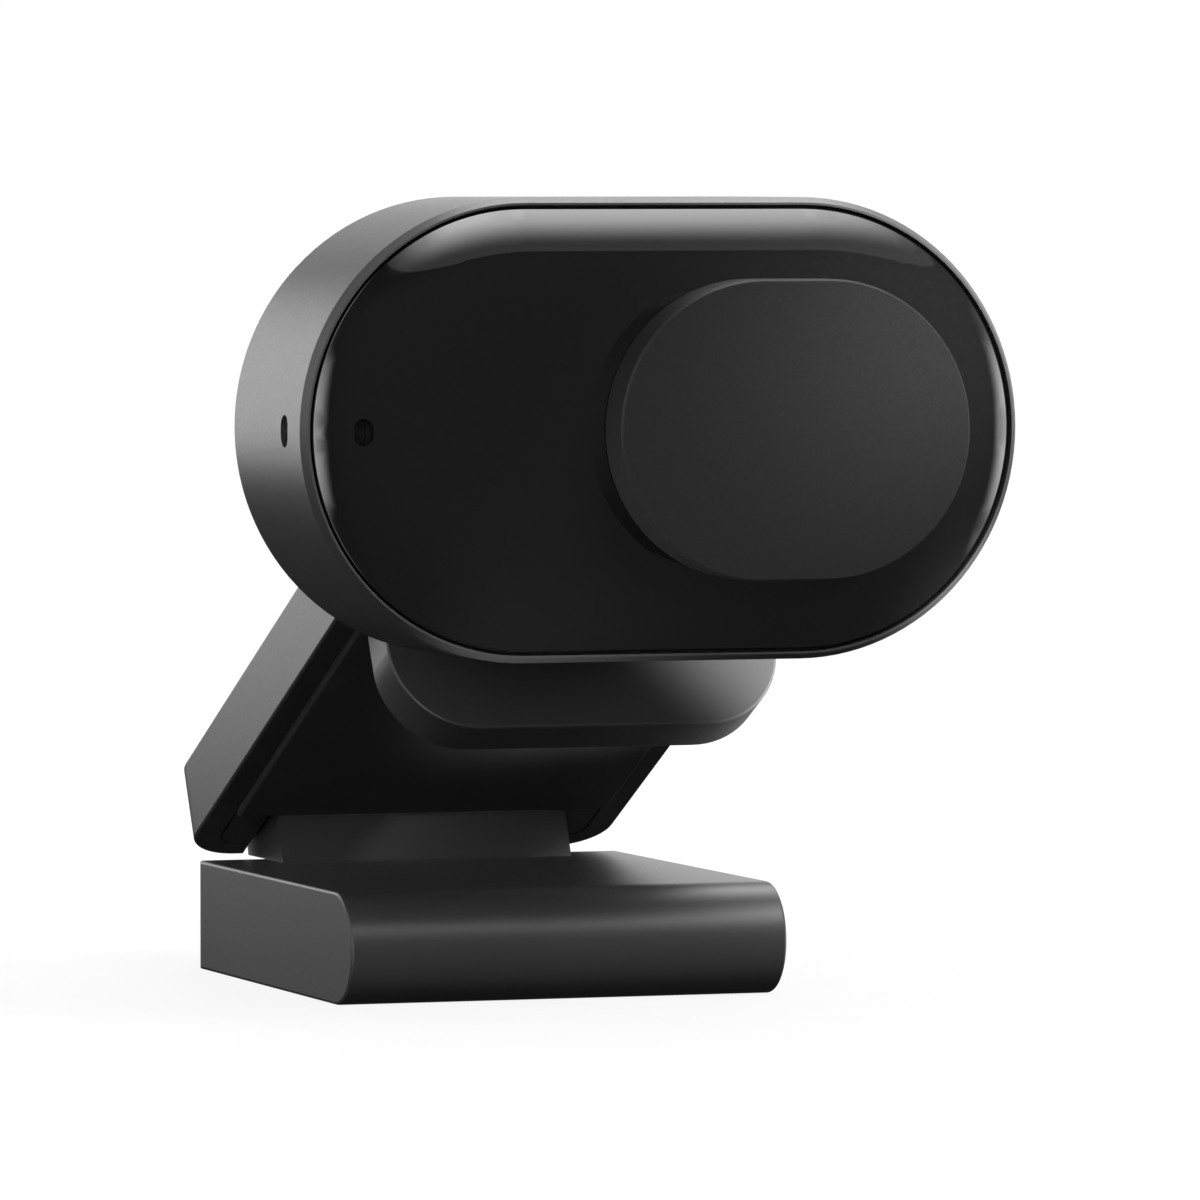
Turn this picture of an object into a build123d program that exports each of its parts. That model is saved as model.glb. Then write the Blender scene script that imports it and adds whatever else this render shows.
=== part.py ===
from build123d import *
from math import atan, cos, degrees, radians, sin, sqrt
import os

# A webcam head on a folding monitor clip, standing on the clip's foot.
# Millimetres, +Z up, +X to the right and -Y to the front.
# The origin is the middle of the foot's underside.

# General clearances
seam_gap = 0.15
running_gap = 0.05
screw_gap = 0.05
edge_round = 0.3

# Foot
foot_width = 43.1
foot_depth = 49.2
foot_height = 10.6
foot_wall = 1.8
foot_nose_land = 1.0
foot_pad_thickness = 0.8
base_plate_thickness = 1.6
base_boss_radius = 2.6
ballast_thickness = 4.6
ballast_gap = 0.6

# Tripod nut
nut_y = -8.0
nut_bore_radius = 2.55
nut_barrel_radius = 4.6
nut_flange_radius = 7.0
nut_flange_thickness = 1.4
nut_body_radius = 5.2
nut_height = 7.0

# Foot hinge
hinge_overhang = 3.9
hinge_rise = 5.45
hinge_pin_radius = 1.5
bracket_width = 29.6
bracket_front_y = 18.75
bracket_height = 4.4
bracket_lean = 1.95
bracket_tail = 1.9
knuckle_radius = 3.6
bush_wall = 0.5
bush_length = 2.8
ear_gap = 0.6

# Clip
clip_angle = 26.8
plate_width = 43.1
plate_length = 62.6
plate_thickness = 7.8
plate_corner = 5.2
plate_rear_reach = 4.2
plate_wall = 1.8
plate_border = 1.5
notch_depth = 10.9
hinge_block_length = 13.2
tilt_block_length = 9.0
cover_thickness = 1.6
cover_boss_radius = 2.3
clip_screw_spacing_x = 27.0
clip_screw_spacing_y = 26.0
clip_screw_center_y = -29.0
lip_width = 38.2
lip_thickness = 5.25
lip_drop = 14.0
lip_corner = 8.0
clip_pad_width = 38.0
clip_pad_start = 11.0
clip_pad_thickness = 0.75
clip_pad_corner = 0.4
clip_pad_round = 0.35
ear_seam_width = 0.25
ear_seam_depth = 0.25
lip_pad_thickness = 0.75
lip_pad_border = 2.0

# Tilt hinge
tilt_inset = 3.3
tilt_rise = 0.6
tilt_pin_radius = 1.5
tilt_pin_length = 26.0
tilt_bush_wall = 0.7
lug_width = 13.6
lug_knuckle_radius = 3.0
lug_root_height = 7.8
lug_root_drop = 6.4
tilt_washer_thickness = 1.0
notch_floor_gap = 0.4

# Head
head_width = 69.0
head_height = 42.2
head_depth = 22.05
head_reach = 8.64
head_rise = 12.97
shell_wall = 1.8
rear_round = 1.2
rim_bevel_side = 0.5
rim_bevel_depth = 0.9
rim_inset = 0.7
panel_gap = 0.25
recess_depth = 2.1
ledge_inset = 3.8
ledge_thickness = 1.2
cover_plate_thickness = 2.0
head_boss_radius = 2.5
head_boss_inset = 4.5

# Front panel
gasket_thickness = 0.3
gasket_width = 2.0
panel_edge_thickness = 1.5
pillow_width = 9.0
pillow_radius = 21.8
panel_edge_round = 0.25

# Shutter
shutter_width = 33.7
shutter_height = 27.4
shutter_thickness = 4.4
shutter_inset = 24.0
shutter_travel = 20.9
shutter_bevel = 0.2
shutter_float = 0.15
tongue_width = 3.2
tongue_height = 2.0
tongue_inset = 6.45
tongue_rise = 8.5
slot_end_gap = 0.3
runner_width = 5.6
runner_height = 3.2
runner_thickness = 1.2

# Optics
lens_inset = 20.9
window_radius = 6.6
window_thickness = 1.6
window_shoulder = 1.0
barrel_radius = 5.8
barrel_length = 11.0
barrel_wall = 1.4
barrel_front_gap = 0.4
glass_radius = 3.9
front_glass_thickness = 2.4
rear_glass_thickness = 1.6
glass_setback = 0.5
holder_wall = 0.95
holder_base = 16.0
holder_base_thickness = 2.0
holder_height = 10.6
sensor_size = 8.0
sensor_thickness = 1.0

# Electronics
board_side_gap = 4.5
board_height = 28.0
board_thickness = 1.2
board_standoff = 3.95
board_post_radius = 2.3
board_screw_inset = 6.0
board_screw_rise = 6.0
indicator_inset = 5.4
indicator_width = 1.75
indicator_height = 2.45
indicator_setback = 0.9
pipe_flange_border = 0.5
pipe_flange_thickness = 0.8
led_width = 1.6
led_height = 0.8
led_thickness = 0.7
led_gap = 0.3
mic_setback = 5.6
mic_slot_width = 2.1
mic_slot_height = 2.95
mic_seat_size = 6.0
mic_seat_depth = 2.4
mic_gasket_thickness = 0.5
mic_size = 3.6
mic_thickness = 0.9
mic_board_size = 4.2
mic_board_thickness = 0.4
connector_x = -12.0
connector_width = 10.0
connector_height = 4.0
connector_depth = 3.0
spreader_width = 16.0
spreader_height = 12.0
spreader_thickness = 1.0
grommet_rise = 6.0
grommet_hole_radius = 4.0
grommet_flange_radius = 5.4
grommet_flange_thickness = 1.2
cable_radius = 1.9

# Screws: head radius, head height, shank radius, shank length
foot_screw = (2.0, 0.9, 0.9, 4.6)
bracket_screw = (1.7, 1.2, 0.85, 3.6)
clip_screw = (1.9, 1.0, 0.9, 4.6)
rear_screw = (2.0, 1.2, 0.9, 6.0)
board_screw = (1.9, 1.0, 0.8, 4.0)
runner_screw = (1.2, 0.7, 0.55, 3.6)

# Derived places
foot_rear_y = foot_depth / 2
foot_nose_radius = foot_height / 2
foot_nose_y = foot_nose_radius - foot_rear_y
foot_roof_z = foot_height - foot_wall
cavity_width = foot_width - 2 * foot_wall
cavity_front_y = foot_nose_y + foot_nose_land
cavity_rear_y = foot_rear_y - foot_wall
cavity_depth = cavity_rear_y - cavity_front_y
cavity_y = (cavity_front_y + cavity_rear_y) / 2
base_top_z = foot_pad_thickness + base_plate_thickness
base_boss_x = cavity_width / 2 - base_boss_radius
base_boss_y = cavity_depth / 2 - base_boss_radius
base_boss_points = [
    (side * base_boss_x, cavity_y + end * base_boss_y) for side in (-1, 1) for end in (-1, 1)
]
bracket_screw_x = bracket_width / 4
bracket_screw_y = cavity_rear_y - bracket_screw[0] - seam_gap
bracket_screw_points = [(side * bracket_screw_x, bracket_screw_y) for side in (-1, 1)]

hinge_y = foot_rear_y + hinge_overhang
hinge_z = foot_height + hinge_rise
ear_inner_x = bracket_width / 2 + ear_gap
bush_radius = hinge_pin_radius + running_gap + bush_wall
plate_half = plate_thickness / 2
plate_front_y = plate_rear_reach - plate_length
plate_y = plate_rear_reach - plate_length / 2
pad_rear_y = plate_rear_reach - clip_pad_start
pad_border = (plate_width - clip_pad_width) / 2
cover_under_z = plate_half - cover_thickness
hollow_front_y = plate_front_y + tilt_block_length
hollow_rear_y = plate_rear_reach - hinge_block_length
clip_screw_points = [
    (side * clip_screw_spacing_x / 2, clip_screw_center_y + end * clip_screw_spacing_y / 2)
    for side in (-1, 1)
    for end in (-1, 1)
]
clip_frame = Plane(
    origin=(0, hinge_y, hinge_z),
    x_dir=(1, 0, 0),
    z_dir=(0, sin(radians(clip_angle)), cos(radians(clip_angle))),
)

tilt_local_y = plate_front_y + tilt_inset
tilt_axis = clip_frame.from_local_coords(Vector(0, tilt_local_y, tilt_rise))
lug_notch_half = lug_width / 2 + tilt_washer_thickness + 2 * seam_gap
lug_notch_rear_y = tilt_local_y + lug_knuckle_radius + notch_floor_gap
lug_notch_floor_z = tilt_rise - lug_knuckle_radius - notch_floor_gap
tilt_bush_radius = tilt_pin_radius + running_gap + tilt_bush_wall

head_rear_y = tilt_axis.Y - head_reach
head_front_y = head_rear_y - head_depth
head_z = tilt_axis.Z + head_rise
ledge_front_y = head_front_y + recess_depth
ledge_rear_y = ledge_front_y + ledge_thickness
cover_inner_y = head_rear_y - cover_plate_thickness
head_arc_x = (head_width - head_height) / 2
head_boss_rise = head_height / 2 - head_boss_inset
head_boss_points = [(side * head_arc_x, end * head_boss_rise) for side in (-1, 1) for end in (-1, 1)]
panel_inset = rim_inset + panel_gap
panel_back_y = ledge_front_y - gasket_thickness
panel_edge_y = panel_back_y - panel_edge_thickness
panel_half_height = head_height / 2 - panel_inset
pillow_drop = pillow_radius - sqrt(pillow_radius**2 - pillow_width**2)
panel_front_y = panel_edge_y - pillow_drop
shutter_base_y = panel_front_y - shutter_float
tongue_back_y = panel_back_y + shutter_float
runner_back_y = tongue_back_y + runner_thickness
shutter_x = head_width / 2 - shutter_inset
lens_x = head_width / 2 - lens_inset
indicator_x = indicator_inset - head_width / 2
tongue_x = shutter_width / 2 - tongue_inset
tongue_center_x = shutter_x + tongue_x
tongue_points = [(tongue_center_x, end * tongue_rise) for end in (-1, 1)]
slot_length = shutter_travel + tongue_width + 2 * slot_end_gap
slot_x = tongue_center_x - shutter_travel / 2
board_back_y = cover_inner_y - board_standoff
board_front_y = board_back_y - board_thickness
board_width = head_width - 2 * board_side_gap
board_screw_x = board_width / 2 - board_screw_inset
board_screw_points = [
    (side * board_screw_x, end * board_screw_rise) for side in (-1, 1) for end in (-1, 1)
]
barrel_front_y = panel_back_y + barrel_front_gap
led_front_y = board_front_y - led_thickness
mic_y = head_front_y + mic_setback
mic_seat_x = head_width / 2 - mic_seat_depth


def head_plane(y):
    """Plane across the head at depth y: local x to the right, local y up, facing the front."""
    return Plane(origin=(0, y, head_z), x_dir=(1, 0, 0), z_dir=(0, -1, 0))


def head_plane_back(y):
    """Plane across the head at depth y, with the same axes up and sideways, facing the rear."""
    return Plane(origin=(0, y, head_z), x_dir=(-1, 0, 0), z_dir=(0, 1, 0))


def side_plane(x):
    """Plane across the head at x: local x to the rear, local y up, facing the right."""
    return Plane(origin=(x, 0, head_z), x_dir=(0, 1, 0), z_dir=(1, 0, 0))


def clip_plan(height):
    """Plane along the clip plate, a height above its middle."""
    return clip_frame.offset(height)


def clip_side(x):
    """Plane across the clip at x: local x down the slope to the rear, local y off the plate."""
    return Plane(
        origin=clip_frame.from_local_coords(Vector(x, 0, 0)),
        x_dir=clip_frame.y_dir,
        z_dir=clip_frame.x_dir,
    )


def clip_front(y):
    """Plane square to the clip plate at a place along it, facing its front end."""
    return Plane(
        origin=clip_frame.from_local_coords(Vector(0, y, 0)),
        x_dir=clip_frame.x_dir,
        z_dir=clip_frame.y_dir * -1,
    )


def is_lip_edge(edge):
    """True for the outline edges of the lip's front and back faces below the clip plate."""
    middle = clip_frame.to_local_coords(edge.center())
    lip_middle_y = plate_front_y + lip_thickness / 2
    on_face = abs(abs(middle.Y - lip_middle_y) - lip_thickness / 2) < seam_gap
    return on_face and middle.Z < -plate_half - seam_gap


def is_panel_corner(vertex):
    """True for a corner of the panel's section at the foot of its arc."""
    return abs(vertex.X - panel_edge_y) < seam_gap


def screw_set(plane, points, size):
    """Screws with hex sockets, driven along the plane's normal from heads that start on it."""
    head_radius, head_height, shank_radius, shank_length = size
    with BuildPart() as screws:
        with BuildSketch(plane):
            with Locations(*points):
                Circle(head_radius)
        extrude(amount=head_height)
        with BuildSketch(plane.offset(head_height)):
            with Locations(*points):
                Circle(shank_radius)
        extrude(amount=shank_length)
        with BuildSketch(plane):
            with Locations(*points):
                RegularPolygon(head_radius / 2, 6)
        extrude(amount=head_height / 2, mode=Mode.SUBTRACT)
    return screws.part


def sleeve_pair(plane, inner_x, length, outer_radius, bore_radius):
    """Two equal sleeves, one each side of the middle, round the plane's local origin."""
    with BuildPart() as sleeves:
        for side in (-1, 1):
            start = inner_x if side == 1 else -inner_x - length
            with BuildSketch(plane.offset(start)):
                Circle(outer_radius)
                Circle(bore_radius, mode=Mode.SUBTRACT)
            extrude(amount=length)
    return sleeves.part


def write(solid, name):
    """Label a finished piece and write its file."""
    solid.label = name
    export_step(solid, f"parts/{name}.step")


os.makedirs("parts", exist_ok=True)
hinge_axis_plane = Plane(origin=(0, hinge_y, hinge_z), x_dir=(0, 1, 0), z_dir=(1, 0, 0))
tilt_axis_plane = Plane(origin=tilt_axis, x_dir=(0, 1, 0), z_dir=(1, 0, 0))

# Foot shell: square at the rear, a full round at the nose, hollow from below
with BuildPart() as foot_shell:
    with BuildSketch(Plane.YZ.offset(-foot_width / 2)):
        with Locations((foot_nose_y, foot_nose_radius)):
            Circle(foot_nose_radius)
            Rectangle(foot_rear_y - foot_nose_y, foot_height, align=(Align.MIN, Align.CENTER))
    extrude(amount=foot_width)
    fillet(foot_shell.faces().filter_by(Axis.X).edges(), edge_round)
    with BuildSketch(Plane.XY):
        with Locations((0, cavity_y)):
            Rectangle(cavity_width, cavity_depth)
    extrude(amount=foot_roof_z, mode=Mode.SUBTRACT)
    with BuildSketch(Plane.XY.offset(base_top_z)):
        with Locations(*base_boss_points):
            Rectangle(2 * base_boss_radius, 2 * base_boss_radius)
    extrude(amount=foot_roof_z - base_top_z)
    with BuildSketch(Plane.XY.offset(base_top_z)):
        with Locations(*base_boss_points):
            Circle(foot_screw[2] + screw_gap)
    extrude(amount=foot_screw[3], mode=Mode.SUBTRACT)
    with BuildSketch(Plane.XY.offset(foot_roof_z)):
        with Locations(*bracket_screw_points):
            Circle(bracket_screw[2] + screw_gap)
    extrude(amount=foot_wall, mode=Mode.SUBTRACT)
write(foot_shell.part, "foot_shell")

# Base plate that closes the foot, with countersinks that the pad hides
with BuildPart() as foot_base_plate:
    with BuildSketch(Plane.XY.offset(foot_pad_thickness)):
        with Locations((0, cavity_y)):
            Rectangle(cavity_width - 2 * seam_gap, cavity_depth - 2 * seam_gap)
        with Locations((0, nut_y)):
            Circle(nut_barrel_radius + running_gap, mode=Mode.SUBTRACT)
        with Locations(*base_boss_points):
            Circle(foot_screw[2] + screw_gap, mode=Mode.SUBTRACT)
    extrude(amount=base_plate_thickness)
    with BuildSketch(Plane.XY.offset(foot_pad_thickness)):
        with Locations(*base_boss_points):
            Circle(foot_screw[0] + screw_gap)
    extrude(amount=foot_screw[1], mode=Mode.SUBTRACT)
write(foot_base_plate.part, "foot_base_plate")

# Rubber pad under the base plate
with BuildPart() as foot_pad:
    with BuildSketch(Plane.XY):
        with Locations((0, cavity_y)):
            Rectangle(cavity_width - 2 * seam_gap, cavity_depth - 2 * seam_gap)
        with Locations((0, nut_y)):
            Circle(nut_barrel_radius, mode=Mode.SUBTRACT)
    extrude(amount=foot_pad_thickness)
write(foot_pad.part, "foot_pad")

# Steel weight on the base plate, cut away round the screw bosses and the tripod nut
with BuildPart() as foot_ballast:
    with BuildSketch(Plane.XY.offset(base_top_z)):
        with Locations((0, cavity_y)):
            Rectangle(cavity_width - 2 * ballast_gap, cavity_depth - 2 * ballast_gap)
        with Locations((0, nut_y)):
            Circle(nut_flange_radius + ballast_gap, mode=Mode.SUBTRACT)
        with Locations(*base_boss_points):
            Rectangle(
                2 * (base_boss_radius + ballast_gap),
                2 * (base_boss_radius + ballast_gap),
                mode=Mode.SUBTRACT,
            )
    extrude(amount=ballast_thickness)
write(foot_ballast.part, "foot_ballast")

# Tripod nut with a flange on the base plate
with BuildPart() as tripod_nut:
    nut_plane = Plane(origin=(0, nut_y, foot_pad_thickness))
    with BuildSketch(nut_plane):
        Circle(nut_barrel_radius)
    extrude(amount=base_plate_thickness)
    with BuildSketch(nut_plane.offset(base_plate_thickness)):
        Circle(nut_flange_radius)
    extrude(amount=nut_flange_thickness)
    with BuildSketch(nut_plane.offset(base_plate_thickness)):
        RegularPolygon(nut_body_radius, 6)
    extrude(amount=nut_height - base_plate_thickness)
    with BuildSketch(nut_plane):
        Circle(nut_bore_radius)
    extrude(amount=nut_height, mode=Mode.SUBTRACT)
write(tripod_nut.part, "tripod_nut")

write(screw_set(Plane.XY.offset(foot_pad_thickness), base_boss_points, foot_screw), "foot_screws")

# Hinge bracket on the foot: a block with a leaning front that rises to a knuckle round the pin
with BuildPart() as hinge_bracket:
    with BuildSketch(Plane.YZ.offset(-bracket_width / 2)):
        with Locations((hinge_y, hinge_z)):
            Circle(knuckle_radius)
        with BuildLine():
            Polyline(
                (bracket_front_y, foot_height),
                (bracket_front_y + bracket_lean, foot_height + bracket_height),
                (hinge_y + bracket_tail, foot_height + bracket_height),
                (hinge_y + bracket_tail, foot_height),
                close=True,
            )
        make_face()
        make_hull()
    extrude(amount=bracket_width)
    bracket_nose = hinge_bracket.faces().sort_by(Axis.Y)[0]
    fillet(bracket_nose.edges().sort_by(Axis.Z)[-1], edge_round)
    with BuildSketch(hinge_axis_plane.offset(-bracket_width / 2)):
        Circle(hinge_pin_radius)
    extrude(amount=bracket_width, mode=Mode.SUBTRACT)
    with BuildSketch(Plane.XY.offset(foot_height)):
        with Locations(*bracket_screw_points):
            Circle(bracket_screw[2] + screw_gap)
    extrude(amount=bracket_screw[3] - foot_wall + screw_gap, mode=Mode.SUBTRACT)
write(hinge_bracket.part, "hinge_bracket")

bracket_screw_plane = Plane.XY.offset(foot_roof_z - bracket_screw[1])
write(screw_set(bracket_screw_plane, bracket_screw_points, bracket_screw), "bracket_screws")

# Foot hinge pin, held by the bracket
with BuildPart() as foot_hinge_pin:
    pin_half = ear_inner_x + bush_length
    with BuildSketch(hinge_axis_plane.offset(-pin_half)):
        Circle(hinge_pin_radius)
    extrude(amount=2 * pin_half)
write(foot_hinge_pin.part, "foot_hinge_pin")

write(
    sleeve_pair(
        hinge_axis_plane,
        bracket_width / 2 + seam_gap,
        ear_gap - 2 * seam_gap,
        knuckle_radius - edge_round,
        hinge_pin_radius + running_gap,
    ),
    "foot_hinge_washers",
)

# Bushes in the clip's two ears
write(
    sleeve_pair(
        hinge_axis_plane, ear_inner_x, bush_length, bush_radius, hinge_pin_radius + running_gap
    ),
    "foot_hinge_bushes",
)

# Front lip of the clip, rounded before it joins the plate
with BuildPart() as clip_lip:
    with BuildSketch(clip_front(plate_front_y)) as lip_outline:
        Rectangle(lip_width, plate_half + lip_drop, align=(Align.CENTER, Align.MAX))
        fillet(lip_outline.vertices().group_by(Axis.Y)[0], lip_corner)
    extrude(amount=-lip_thickness)
    fillet(clip_lip.edges().filter_by(is_lip_edge), edge_round)

# Clip plate: a tray with the front lip, open on top under its cover
with BuildPart() as clip_plate:
    with BuildSketch(clip_plan(-plate_half)):
        with Locations((0, plate_y)):
            RectangleRounded(plate_width, plate_length, plate_corner)
    extrude(amount=plate_thickness)
    fillet(clip_plate.faces().filter_by(clip_frame).edges(), edge_round)
    add(clip_lip.part)
    with BuildSketch(clip_plan(cover_under_z)):
        with Locations((0, plate_y)):
            RectangleRounded(
                plate_width - 2 * plate_border,
                plate_length - 2 * plate_border,
                plate_corner - plate_border,
            )
    extrude(amount=cover_thickness, mode=Mode.SUBTRACT)
    with BuildSketch(clip_plan(plate_wall - plate_half)):
        with Locations((0, (hollow_front_y + hollow_rear_y) / 2)):
            Rectangle(plate_width - 2 * plate_wall, hollow_rear_y - hollow_front_y)
    extrude(amount=plate_thickness - plate_wall - cover_thickness, mode=Mode.SUBTRACT)
    with BuildSketch(clip_plan(plate_wall - plate_half)):
        with Locations(*clip_screw_points):
            Circle(cover_boss_radius)
    extrude(amount=plate_half - plate_wall)
    with BuildSketch(clip_plan(-plate_half)):
        with Locations(*clip_screw_points):
            Circle(clip_screw[2] + screw_gap)
    extrude(amount=plate_half, mode=Mode.SUBTRACT)
    with BuildSketch(clip_plan(-plate_half)):
        with Locations(*clip_screw_points):
            Circle(clip_screw[0] + screw_gap)
    extrude(amount=clip_screw[1], mode=Mode.SUBTRACT)
    # Seam of the underside, behind the pad and round the two ears
    with BuildSketch(clip_plan(-plate_half)):
        with Locations((0, plate_y)):
            RectangleRounded(clip_pad_width, plate_length - 2 * pad_border, plate_corner - pad_border)
            RectangleRounded(
                clip_pad_width - 2 * ear_seam_width,
                plate_length - 2 * pad_border - 2 * ear_seam_width,
                plate_corner - pad_border - ear_seam_width,
                mode=Mode.SUBTRACT,
            )
        with Locations((0, pad_rear_y)):
            Rectangle(plate_width, plate_length, align=(Align.CENTER, Align.MAX), mode=Mode.SUBTRACT)
    extrude(amount=ear_seam_depth, mode=Mode.SUBTRACT)
    # Notch for the foot's bracket
    with BuildSketch(clip_plan(-plate_half)):
        with Locations((0, plate_rear_reach)):
            Rectangle(2 * ear_inner_x, notch_depth, align=(Align.CENTER, Align.MAX))
    extrude(amount=plate_thickness, mode=Mode.SUBTRACT)
    # Notch for the head's lug
    with BuildSketch(clip_plan(lug_notch_floor_z)):
        with Locations((0, plate_front_y)):
            Rectangle(
                2 * lug_notch_half,
                lug_notch_rear_y - plate_front_y,
                align=(Align.CENTER, Align.MIN),
            )
    extrude(amount=plate_half - lug_notch_floor_z, mode=Mode.SUBTRACT)
    # Saddles for the bushes and the tilt pin, open at the top
    for side in (-1, 1):
        saddle_x = ear_inner_x if side == 1 else -ear_inner_x - bush_length
        with BuildSketch(clip_side(saddle_x)):
            Circle(bush_radius)
            Rectangle(2 * bush_radius, cover_under_z, align=(Align.CENTER, Align.MIN))
        extrude(amount=bush_length, mode=Mode.SUBTRACT)
    with BuildSketch(clip_side(-tilt_pin_length / 2)):
        with Locations((tilt_local_y, tilt_rise)):
            Circle(tilt_pin_radius)
            Rectangle(
                2 * tilt_pin_radius, cover_under_z - tilt_rise, align=(Align.CENTER, Align.MIN)
            )
    extrude(amount=tilt_pin_length, mode=Mode.SUBTRACT)
write(clip_plate.part, "clip_plate")

# Cover of the clip plate, with keepers that hold the bushes and the tilt pin down
with BuildPart() as clip_cover:
    with BuildSketch(clip_plan(cover_under_z)):
        with Locations((0, plate_y)):
            RectangleRounded(
                plate_width - 2 * plate_border - 2 * seam_gap,
                plate_length - 2 * plate_border - 2 * seam_gap,
                plate_corner - plate_border - seam_gap,
            )
        with Locations((0, plate_rear_reach)):
            Rectangle(
                2 * ear_inner_x, notch_depth, align=(Align.CENTER, Align.MAX), mode=Mode.SUBTRACT
            )
        with Locations((0, plate_front_y)):
            Rectangle(
                2 * lug_notch_half,
                lug_notch_rear_y - plate_front_y,
                align=(Align.CENTER, Align.MIN),
                mode=Mode.SUBTRACT,
            )
    extrude(amount=cover_thickness)
    with BuildSketch(clip_plan(screw_gap)):
        with Locations(*clip_screw_points):
            Circle(cover_boss_radius)
    extrude(amount=cover_under_z - screw_gap)
    with BuildSketch(clip_plan(screw_gap)):
        with Locations(*clip_screw_points):
            Circle(clip_screw[2] + screw_gap)
    extrude(amount=clip_screw[1] + clip_screw[3] - plate_half, mode=Mode.SUBTRACT)
    for side in (-1, 1):
        keeper_x = side * (ear_inner_x + bush_length / 2)
        with BuildSketch(clip_plan(bush_radius)):
            with Locations((keeper_x, 0)):
                Rectangle(bush_length - 2 * seam_gap, 2 * (bush_radius - seam_gap))
        extrude(amount=cover_under_z - bush_radius)
        keeper_length = tilt_pin_length / 2 - lug_notch_half
        with BuildSketch(clip_plan(tilt_rise + tilt_pin_radius)):
            with Locations((side * (lug_notch_half + keeper_length / 2), tilt_local_y)):
                Rectangle(keeper_length - 2 * seam_gap, 2 * (tilt_pin_radius - seam_gap))
        extrude(amount=cover_under_z - tilt_rise - tilt_pin_radius)
write(clip_cover.part, "clip_cover")

# Rubber pad on the clip's underside, from the bracket notch up to the lip
with BuildPart() as clip_pad:
    pad_front_y = plate_front_y + lip_thickness + lip_pad_thickness + seam_gap
    with BuildSketch(clip_plan(-plate_half - clip_pad_thickness)):
        with Locations((0, (pad_rear_y + pad_front_y) / 2)):
            RectangleRounded(clip_pad_width, pad_rear_y - pad_front_y, clip_pad_corner)
    extrude(amount=clip_pad_thickness)
    fillet(clip_pad.faces().filter_by(clip_frame).sort_by(Axis.Z)[0].edges(), clip_pad_round)
write(clip_pad.part, "clip_pad")

# Rubber pad on the back of the lip
with BuildPart() as lip_pad:
    with BuildSketch(clip_front(plate_front_y + lip_thickness)) as lip_pad_outline:
        with Locations((0, -plate_half - clip_pad_thickness - seam_gap)):
            Rectangle(
                lip_width - 2 * lip_pad_border,
                lip_drop - lip_pad_border - clip_pad_thickness - seam_gap,
                align=(Align.CENTER, Align.MAX),
            )
        fillet(lip_pad_outline.vertices().group_by(Axis.Y)[0], lip_corner - lip_pad_border)
    extrude(amount=-lip_pad_thickness)
write(lip_pad.part, "lip_pad")

write(screw_set(clip_plan(-plate_half), clip_screw_points, clip_screw), "clip_screws")

# Tilt pin, clamped in the clip's front block
with BuildPart() as tilt_pin:
    with BuildSketch(tilt_axis_plane.offset(-tilt_pin_length / 2)):
        Circle(tilt_pin_radius)
    extrude(amount=tilt_pin_length)
write(tilt_pin.part, "tilt_pin")

write(
    sleeve_pair(
        tilt_axis_plane,
        lug_width / 2 + seam_gap,
        tilt_washer_thickness,
        lug_knuckle_radius - edge_round,
        tilt_pin_radius + running_gap,
    ),
    "tilt_washers",
)

# Bush in the head's lug
with BuildPart() as tilt_bush:
    with BuildSketch(tilt_axis_plane.offset(-lug_width / 2)):
        Circle(tilt_bush_radius)
        Circle(tilt_pin_radius + running_gap, mode=Mode.SUBTRACT)
    extrude(amount=lug_width)
write(tilt_bush.part, "tilt_bush")

# Head shell: a stadium ring with a bevelled front rim and a ledge for the front panel
with BuildPart() as head_shell:
    with BuildSketch(head_plane(head_rear_y)):
        SlotOverall(head_width, head_height)
    extrude(amount=head_depth - rim_bevel_depth)
    fillet(head_shell.faces().sort_by(Axis.Y)[-1].edges(), rear_round)
    with BuildSketch(head_plane(head_front_y + rim_bevel_depth)):
        SlotOverall(head_width, head_height)
    extrude(amount=rim_bevel_depth, taper=degrees(atan(rim_bevel_side / rim_bevel_depth)))
    with BuildSketch(head_plane(head_rear_y)):
        SlotOverall(head_width - 2 * shell_wall, head_height - 2 * shell_wall)
    extrude(amount=head_rear_y - ledge_rear_y, mode=Mode.SUBTRACT)
    with BuildSketch(head_plane(ledge_rear_y)):
        SlotOverall(head_width - 2 * ledge_inset, head_height - 2 * ledge_inset)
    extrude(amount=ledge_thickness, mode=Mode.SUBTRACT)
    with BuildSketch(head_plane(ledge_front_y)):
        SlotOverall(head_width - 2 * rim_inset, head_height - 2 * rim_inset)
    extrude(amount=recess_depth, mode=Mode.SUBTRACT)
    # Posts for the rear cover's screws, merged with the wall
    with BuildSketch(head_plane(cover_inner_y)):
        with Locations(*head_boss_points):
            Circle(head_boss_radius)
        for side in (-1, 1):
            with Locations((0, side * (head_boss_rise + head_boss_radius / 2))):
                with GridLocations(2 * head_arc_x, 0, 2, 1):
                    Rectangle(2 * head_boss_radius, head_boss_radius + 2 * seam_gap)
    extrude(amount=cover_inner_y - ledge_rear_y)
    with BuildSketch(head_plane(cover_inner_y)):
        with Locations(*head_boss_points):
            Circle(rear_screw[2] + screw_gap)
    extrude(amount=rear_screw[3], mode=Mode.SUBTRACT)
    # Flat seats and openings for the two microphones
    for side in (-1, 1):
        with BuildSketch(side_plane(side * mic_seat_x)):
            with Locations((mic_y, 0)):
                Rectangle(mic_seat_size, mic_seat_size)
        extrude(amount=side * (mic_seat_depth - shell_wall / 2))
        with BuildSketch(side_plane(side * mic_seat_x)):
            with Locations((mic_y, 0)):
                SlotOverall(mic_slot_height, mic_slot_width, rotation=90)
        extrude(amount=side * (mic_seat_depth + shell_wall), mode=Mode.SUBTRACT)
write(head_shell.part, "head_shell")

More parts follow.
